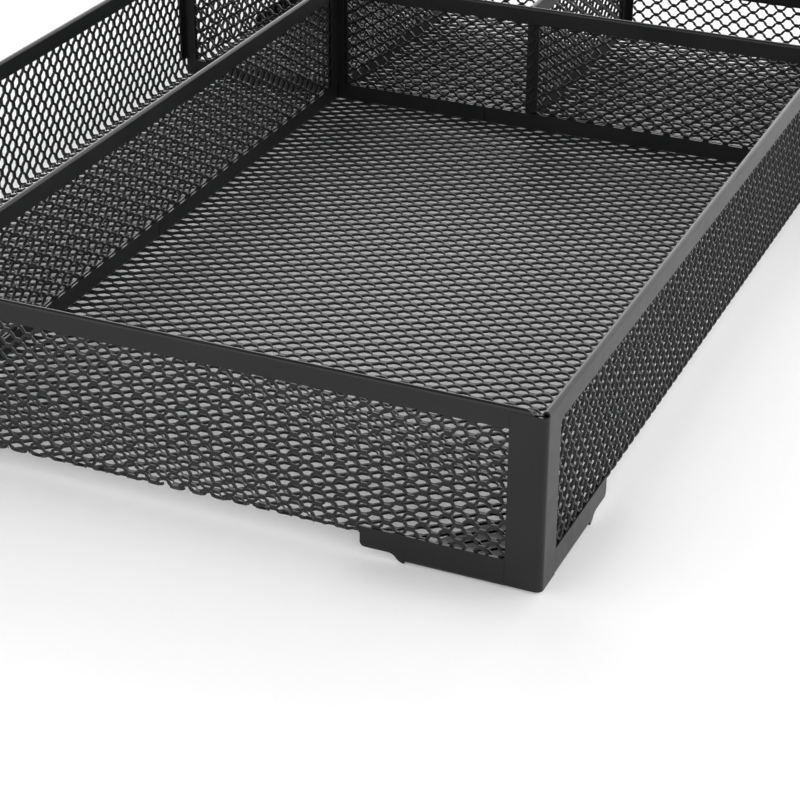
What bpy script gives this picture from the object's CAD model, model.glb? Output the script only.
from collections import namedtuple
from math import cos, hypot, pi, radians, sin

import bmesh
import bpy
import numpy as np
from mathutils import Matrix, Vector


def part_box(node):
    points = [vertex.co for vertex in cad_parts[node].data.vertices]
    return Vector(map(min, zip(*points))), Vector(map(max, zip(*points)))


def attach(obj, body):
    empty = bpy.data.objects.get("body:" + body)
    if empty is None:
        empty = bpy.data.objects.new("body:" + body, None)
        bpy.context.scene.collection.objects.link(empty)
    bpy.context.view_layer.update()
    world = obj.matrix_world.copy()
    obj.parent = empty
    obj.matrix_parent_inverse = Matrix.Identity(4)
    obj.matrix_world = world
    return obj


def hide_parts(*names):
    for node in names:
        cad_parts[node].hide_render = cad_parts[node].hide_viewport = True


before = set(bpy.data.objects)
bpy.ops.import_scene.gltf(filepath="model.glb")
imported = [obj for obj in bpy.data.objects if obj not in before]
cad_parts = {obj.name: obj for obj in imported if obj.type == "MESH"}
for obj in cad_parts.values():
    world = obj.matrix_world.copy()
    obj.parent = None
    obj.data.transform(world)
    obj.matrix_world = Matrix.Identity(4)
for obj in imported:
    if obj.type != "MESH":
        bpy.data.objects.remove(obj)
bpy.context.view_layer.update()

# Desk organizer tray of black powder-coated steel. The folded strips, posts and feet are the CAD nodes.
# The nine flat sheets of the CAD model are replaced here by real expanded mesh: slit and stretched steel
# whose diamond holes stand in staggered rows. Metres, in the CAD frame.

MM = 0.001
scene = bpy.context.scene

# ---------- the mesh pattern ----------
STRAND = 0.64 * MM            # width of a strand, measured along the short way
BOND = 0.90 * MM              # half the length of the straight part where two strands join
THICKNESS = 0.86 * MM         # sheet thickness
TILT = radians(8)             # how far the strands turn towards the front, or down on an upright panel
EDGE_ROUND = 0.14 * MM        # rounding of a strand's edges by the coating
BOW = -0.20 * MM              # how far a hole's edges bow outwards, so here inwards; not on the floor,
                              # whose holes have a single straight segment a side
FLAT_EDGE = EDGE_ROUND / 3    # how far a strand's flat faces are trimmed where its edges stay plain
BEND_OUTSIDE = 2.0 * MM       # outside radius of the bend between floor and walls
BEND_CUTS = 5                 # facets along that bend

# The long and short pitch of the diamonds, the middle of one hole in the panel's own plane, and how far
# the rows climb per long pitch. Every panel was cut from its own stretch of sheet.
Pattern = namedtuple("Pattern", "long_way short_way hole climb")


def pattern(long_way, short_way, hole, climb=0.0):
    return Pattern(long_way * MM, short_way * MM, (hole[0] * MM, hole[1] * MM), climb * MM)


FLOOR_PATTERN = pattern(7.28, 4.92, (28.7, -44.6), -0.49)
FRONT_PATTERN = pattern(6.51, 4.71, (25.3, 24.7), -0.25)
BACK_PATTERN = pattern(7.2, 4.95, (47.4, 20.7), -0.18)
LEFT_PATTERN = pattern(7.05, 4.93, (31.2, 8.3), 0.13)
RIGHT_PATTERN = pattern(7.05, 5.02, (28.7, -119.9))
CROSS_PATTERN = pattern(7.22, 4.6, (19.1, 28.95), -0.065)
LONG_PATTERN = pattern(7.8, 4.46, (-46.1, 30.5))


# ---------- materials ----------
def add(nodes, kind, **values):
    node = nodes.new(kind)
    for key, value in values.items():
        if key in node.inputs:
            node.inputs[key].default_value = value
        else:
            setattr(node, key, value)
    return node


COAT_DARK = (0.005, 0.0052, 0.0055, 1)
COAT_LIGHT = (0.008, 0.0082, 0.0085, 1)
COAT_SPECULAR = 0.30
PATCHES, SMUDGES = 38.0, 210.0     # noise scales of the drift in colour and in roughness
PEEL_HEIGHT = 0.02 * MM


def powder_coat(name, rough_low, rough_high, grain):
    """Black powder coat: colour and roughness drift a little, with a fine orange-peel surface."""
    material = bpy.data.materials.new(name)
    material.use_nodes = True
    tree = material.node_tree
    nodes, links = tree.nodes, tree.links
    shader = nodes["Principled BSDF"]
    shader.inputs["Specular IOR Level"].default_value = COAT_SPECULAR
    place = add(nodes, "ShaderNodeTexCoord")

    def noise(scale, detail):
        node = add(nodes, "ShaderNodeTexNoise", Scale=scale, Detail=detail, Roughness=0.55)
        links.new(place.outputs["Object"], node.inputs["Vector"])
        return node.outputs["Fac"]

    ramp = add(nodes, "ShaderNodeValToRGB")
    ramp.color_ramp.elements[0].position = 0.35
    ramp.color_ramp.elements[0].color = COAT_DARK
    ramp.color_ramp.elements[1].position = 0.68
    ramp.color_ramp.elements[1].color = COAT_LIGHT
    links.new(noise(PATCHES, 3.0), ramp.inputs["Fac"])
    links.new(ramp.outputs["Color"], shader.inputs["Base Color"])

    spread = add(nodes, "ShaderNodeMapRange")
    spread.inputs["To Min"].default_value = rough_low
    spread.inputs["To Max"].default_value = rough_high
    links.new(noise(SMUDGES, 4.0), spread.inputs["Value"])
    links.new(spread.outputs["Result"], shader.inputs["Roughness"])

    bump = add(nodes, "ShaderNodeBump", Strength=0.55, Distance=PEEL_HEIGHT)
    links.new(noise(grain, 2.0), bump.inputs["Height"])
    links.new(bump.outputs["Normal"], shader.inputs["Normal"])
    return material


def plain_floor(name, colour):
    material = bpy.data.materials.new(name)
    material.use_nodes = True
    shader = material.node_tree.nodes["Principled BSDF"]
    shader.inputs["Base Color"].default_value = (*colour, 1)
    shader.inputs["Roughness"].default_value = 0.85
    shader.inputs["Specular IOR Level"].default_value = 0.1
    return material


STRIP_COAT = powder_coat("strip_coat", 0.28, 0.40, 1500.0)
MESH_COAT = powder_coat("mesh_coat", 0.30, 0.42, 1900.0)


# ---------- expanded mesh ----------
def hole_ring(sheet, grow, segments):
    """Corners of one hole round its centre, a quarter at a time: top to right, right to bottom, and so on."""
    a, b = sheet.long_way / 2, sheet.short_way / 2
    high, run = b - STRAND * cos(TILT), a - 2 * BOND
    slope = hypot(high, run)
    top = np.array([BOND + grow * (slope - run) / high, high + grow])
    tip = np.array([a - BOND + grow * slope / high, 0.0])
    share = np.linspace(0, 1, segments + 1)[:, None]
    quarter = top + (tip - top) * share + BOW * np.sin(share * pi)
    return np.concatenate([
        quarter, quarter[::-1] * (1, -1), quarter * (-1, -1), quarter[::-1] * (-1, 1)])


def lattice(low, high, sheet, segments, rounded):
    """Vertices and faces of a flat expanded sheet that covers the rectangle low..high with room to spare.
    The sheet lies in u, v, with w through its thickness and the long way of the holes along u."""
    a, b = sheet.long_way / 2, sheet.short_way / 2
    first_u, first_v = sheet.hole
    k_low, k_high = int((low[0] - first_u) / a) - 3, int((high[0] - first_u) / a) + 3
    drift = abs(sheet.climb) * max(abs(k_low), abs(k_high)) / 2
    m_low, m_high = int((low[1] - first_v - drift) / b) - 3, int((high[1] - first_v + drift) / b) + 3
    k, m = np.meshgrid(np.arange(k_low, k_high + 1), np.arange(m_low, m_high + 1), indexing="ij")
    u = first_u + k * a
    v = first_v + m * b + sheet.climb * k / 2
    near = (u > low[0] - 2 * a) & (u < high[0] + 2 * a) & (v > low[1] - 2 * b) & (v < high[1] + 2 * b)
    used = ((k + m) % 2 == 0) & near
    number = np.full(k.shape, -1)
    number[used] = np.arange(used.sum())
    centres = np.stack([u[used], v[used]], 1)

    half = THICKNESS / 2
    if rounded:
        levels = [(EDGE_ROUND, half), (0.0, half - EDGE_ROUND),
                  (0.0, EDGE_ROUND - half), (EDGE_ROUND, -half)]
    else:
        levels = [(FLAT_EDGE, half), (FLAT_EDGE, -half)]
    size = 4 * (segments + 1)
    rise = STRAND * sin(TILT) / (b - STRAND * cos(TILT))
    points = []
    for grow, height in levels:
        ring = hole_ring(sheet, grow, segments)
        flat = (centres[:, None, :] + ring[None, :, :]).reshape(-1, 2)
        flat[:, 1] -= height * sin(TILT)
        lift = height * cos(TILT) - rise * ring[:, 1]
        points.append(np.column_stack([flat, np.tile(lift, len(centres))]))
    per_level = len(centres) * size
    points = np.concatenate(points)

    i, j = np.nonzero(used)

    def at(di, dj):
        ii, jj = i + di, j + dj
        inside = (ii >= 0) & (ii < k.shape[0]) & (jj >= 0) & (jj < k.shape[1])
        found = np.full(len(i), -1)
        found[inside] = number[ii[inside], jj[inside]]
        return found

    here, north_east, south_east, east = at(0, 0), at(1, 1), at(1, -1), at(2, 0)
    s = segments
    ne, se, sw, nw = 0, s + 1, 2 * (s + 1), 3 * (s + 1)

    def corner(cell, index):
        return cell * size + index

    faces = []

    def both_sides(columns, good):
        """The same face on the front and, turned over, on the back of the sheet."""
        front = np.stack(columns, 1)[good]
        faces.extend(front[:, ::-1].tolist())
        faces.extend((front + (len(levels) - 1) * per_level).tolist())

    for q in range(s):
        both_sides([corner(here, ne + q), corner(north_east, sw + s - q),
                    corner(north_east, sw + s - q - 1), corner(here, ne + q + 1)], north_east >= 0)
        both_sides([corner(here, se + q), corner(south_east, nw + s - q),
                    corner(south_east, nw + s - q - 1), corner(here, se + q + 1)], south_east >= 0)
    both_sides([corner(here, ne + s), corner(north_east, sw), corner(north_east, se + s),
                corner(east, nw), corner(east, sw + s), corner(south_east, ne),
                corner(south_east, nw + s), corner(here, se)],
               (north_east >= 0) & (south_east >= 0) & (east >= 0))

    start = here * size
    for level in range(len(levels) - 1):
        for q in range(size):
            one, two = start + level * per_level + q, start + level * per_level + (q + 1) % size
            faces.extend(np.stack([two, two + per_level, one + per_level, one], 1).tolist())
    return points, faces


def cut(mesh, place, direction, drop_before=False, drop_beyond=False):
    """Cuts the mesh along a plane, and can drop what lies before it or beyond it."""
    bmesh.ops.bisect_plane(
        mesh, geom=mesh.verts[:] + mesh.edges[:] + mesh.faces[:], dist=1e-7, plane_co=place,
        plane_no=direction, clear_outer=drop_beyond, clear_inner=drop_before)


def flip_if_negative(flat):
    """Flips every face if the signed volume is negative. Known fault: lattice() winds the sides of the
    holes against the broad faces, so whichever way this turns a panel, one of the two faces inwards."""
    work = bmesh.new()
    work.from_mesh(flat)
    if work.calc_volume(signed=True) < 0:
        flat.flip_normals()
    work.free()


def expanded_sheet(name, node, low, high, sheet, place, bend_axis=None, segments=2, rounded=True):
    """One panel of expanded mesh from low to high in the sheet's own u, v, set in the room by place().
    A panel with a bend along one of its edges is first cut into short facets there."""
    points, faces = lattice(low, high, sheet, segments, rounded)
    flat = bpy.data.meshes.new(name)
    flat.from_pydata(points.tolist(), [], faces)
    work = bmesh.new()
    work.from_mesh(flat)
    directions = (Vector((1, 0, 0)), Vector((0, 1, 0)))
    for direction, start, end in zip(directions, low, high):
        cut(work, direction * start, direction, drop_before=True)
        cut(work, direction * end, direction, drop_beyond=True)
    rim = [e for e in work.edges if e.is_boundary]
    bmesh.ops.holes_fill(work, edges=rim, sides=0)
    if bend_axis is not None:
        direction = directions[bend_axis]
        for step in range(1, BEND_CUTS + 1):
            cut(work, direction * BEND_LENGTH * step / BEND_CUTS, direction)
    loose = [v for v in work.verts if not v.link_faces]
    bmesh.ops.delete(work, geom=loose, context="VERTS")
    work.to_mesh(flat)
    work.free()
    co = np.zeros(len(flat.vertices) * 3)
    flat.vertices.foreach_get("co", co)
    flat.vertices.foreach_set("co", place(co.reshape(-1, 3)).astype(np.float32).ravel())
    flat.update()
    flip_if_negative(flat)
    flat.shade_smooth()
    flat.set_sharp_from_angle(angle=radians(50))
    piece = bpy.data.objects.new(name, flat)
    scene.collection.objects.link(piece)
    flat.materials.append(MESH_COAT)
    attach(piece, "root")
    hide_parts(node)


def lying(height):
    """The sheet lies flat with its middle at that height: u runs along X and v along Y."""
    return lambda p: np.column_stack([p[:, 0], p[:, 1], height + p[:, 2]])


def standing_across(y):
    """Upright, facing the front: u runs along X and v up."""
    return lambda p: np.column_stack([p[:, 0], y - p[:, 2], p[:, 1]])


def standing_along(x):
    """Upright, facing the right: u runs along Y and v up."""
    return lambda p: np.column_stack([x + p[:, 2], p[:, 0], p[:, 1]])


floor_low, floor_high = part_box("floor_mesh")
floor_middle = (floor_low.z + floor_high.z) / 2
BEND_CENTRE = floor_low.z + BEND_OUTSIDE
MID_RADIUS = BEND_CENTRE - floor_middle
BEND_LENGTH = MID_RADIUS * pi / 2


def bent_up(distance, lift, edge):
    """A point of the sheet that far beyond the floor's edge: how far out it ends up, and how high."""
    angle = np.clip(distance / MID_RADIUS, 0, pi / 2)
    out = edge + (MID_RADIUS - lift) * np.sin(angle)
    height = BEND_CENTRE - (MID_RADIUS - lift) * np.cos(angle) + np.clip(distance - BEND_LENGTH, 0, None)
    return out, height


def unfolded(sheet, up):
    """The pattern with the height of its hole turned into a distance beyond the floor's edge."""
    hole = list(sheet.hole)
    hole[up] += BEND_LENGTH - BEND_CENTRE
    return sheet._replace(hole=tuple(hole))


def end_wall(name, node, side, sheet):
    """The front or back wall: its diamonds lie, u runs along X and v up from the floor's edge."""
    low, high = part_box(node)
    edge = floor_high.y
    tall = BEND_LENGTH + high.z - BEND_CENTRE

    def place(p):
        out, height = bent_up(p[:, 1], p[:, 2], edge)
        return np.column_stack([p[:, 0], side * out, height])

    expanded_sheet(name, node, (low.x, 0.0), (high.x, tall), unfolded(sheet, 1), place, bend_axis=1)


def side_wall(name, node, side, sheet):
    """The left or right wall: its diamonds stand, u runs up from the floor's edge and v along Y."""
    low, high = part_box(node)
    edge = floor_high.x
    tall = BEND_LENGTH + high.z - BEND_CENTRE

    def place(p):
        out, height = bent_up(p[:, 0], p[:, 2], edge)
        return np.column_stack([side * out, p[:, 1], height])

    expanded_sheet(name, node, (0.0, low.y), (tall, high.y), unfolded(sheet, 0), place, bend_axis=0)


expanded_sheet("pan_floor", "floor_mesh", floor_low[:2], floor_high[:2], FLOOR_PATTERN,
               lying(floor_middle), segments=1, rounded=False)
end_wall("pan_front_wall", "front_wall_mesh", -1, FRONT_PATTERN)
end_wall("pan_back_wall", "back_wall_mesh", 1, BACK_PATTERN)
side_wall("pan_left_wall", "left_wall_mesh", -1, LEFT_PATTERN)
side_wall("pan_right_wall", "right_wall_mesh", 1, RIGHT_PATTERN)

low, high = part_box("cross_divider_mesh")
expanded_sheet("cross_panel", "cross_divider_mesh", (low.x, low.z), (high.x, high.z), CROSS_PATTERN,
               standing_across((low.y + high.y) / 2))
for prefix in ("long", "rear_left", "rear_right"):
    node = prefix + "_divider_mesh"
    low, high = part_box(node)
    expanded_sheet(prefix + "_panel", node, (low.y, low.z), (high.y, high.z), LONG_PATTERN,
                   standing_along((low.x + high.x) / 2))

# ---------- the strips, posts and feet keep their CAD meshes ----------
for name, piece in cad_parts.items():
    if piece.hide_render:
        continue
    for slot in piece.material_slots:
        slot.material = STRIP_COAT

# ---------- floor, lights and camera ----------
bpy.ops.mesh.primitive_plane_add(size=12, location=(0, 0, 0))
ground = bpy.context.object
ground.name = "ground"
ground.data.materials.append(plain_floor("ground_paint", (0.95, 0.95, 0.95)))

# White surroundings that fade overhead, between two heights given as the sine of the elevation.
SIDE_GLOW, TOP_GLOW = 2.45, 0.2
FADE_FROM, FADE_TO = 0.3, 0.85
world = bpy.data.worlds.new("studio")
scene.world = world
world.use_nodes = True
world_nodes, world_links = world.node_tree.nodes, world.node_tree.links
backdrop = world_nodes["Background"]
backdrop.inputs["Color"].default_value = (1, 1, 1, 1)
direction = add(world_nodes, "ShaderNodeTexCoord")
split = add(world_nodes, "ShaderNodeSeparateXYZ")
glow = add(world_nodes, "ShaderNodeMapRange", interpolation_type="SMOOTHSTEP")
glow.inputs["From Min"].default_value = FADE_FROM
glow.inputs["From Max"].default_value = FADE_TO
glow.inputs["To Min"].default_value = SIDE_GLOW
glow.inputs["To Max"].default_value = TOP_GLOW
world_links.new(direction.outputs["Generated"], split.inputs["Vector"])
world_links.new(split.outputs["Z"], glow.inputs["Value"])
world_links.new(glow.outputs["Result"], backdrop.inputs["Strength"])


def softbox(name, place, size, power):
    """A rectangular light aimed at the origin, under the middle of the tray."""
    light = bpy.data.lights.new(name, "AREA")
    light.shape = "RECTANGLE"
    light.size, light.size_y = size
    light.energy = power
    lamp = bpy.data.objects.new(name, light)
    scene.collection.objects.link(lamp)
    lamp.location = place
    lamp.rotation_euler = (-Vector(place)).to_track_quat("-Z", "Y").to_euler()


softbox("back", (-0.5, 1.5, 0.9), (2.2, 1.1), 13)
softbox("key_right", (1.5, 0.1, 0.8), (1.2, 1.2), 8)

CAMERA_PLACE = (0.28303, -0.65245, 0.31619)
LENS = 102.44
AZIMUTH, ELEVATION, ROLL = radians(23.247), radians(28.472), radians(0.401)
camera_data = bpy.data.cameras.new("camera")
camera_data.sensor_width = 36
camera_data.lens = LENS
camera_data.clip_start = 0.01
camera = bpy.data.objects.new("camera", camera_data)
scene.collection.objects.link(camera)
turn = (Matrix.Rotation(AZIMUTH, 4, "Z") @ Matrix.Rotation(pi / 2 - ELEVATION, 4, "X")
        @ Matrix.Rotation(ROLL, 4, "Z"))
camera.matrix_world = Matrix.Translation(CAMERA_PLACE) @ turn
scene.camera = camera
scene.view_settings.view_transform = "Standard"
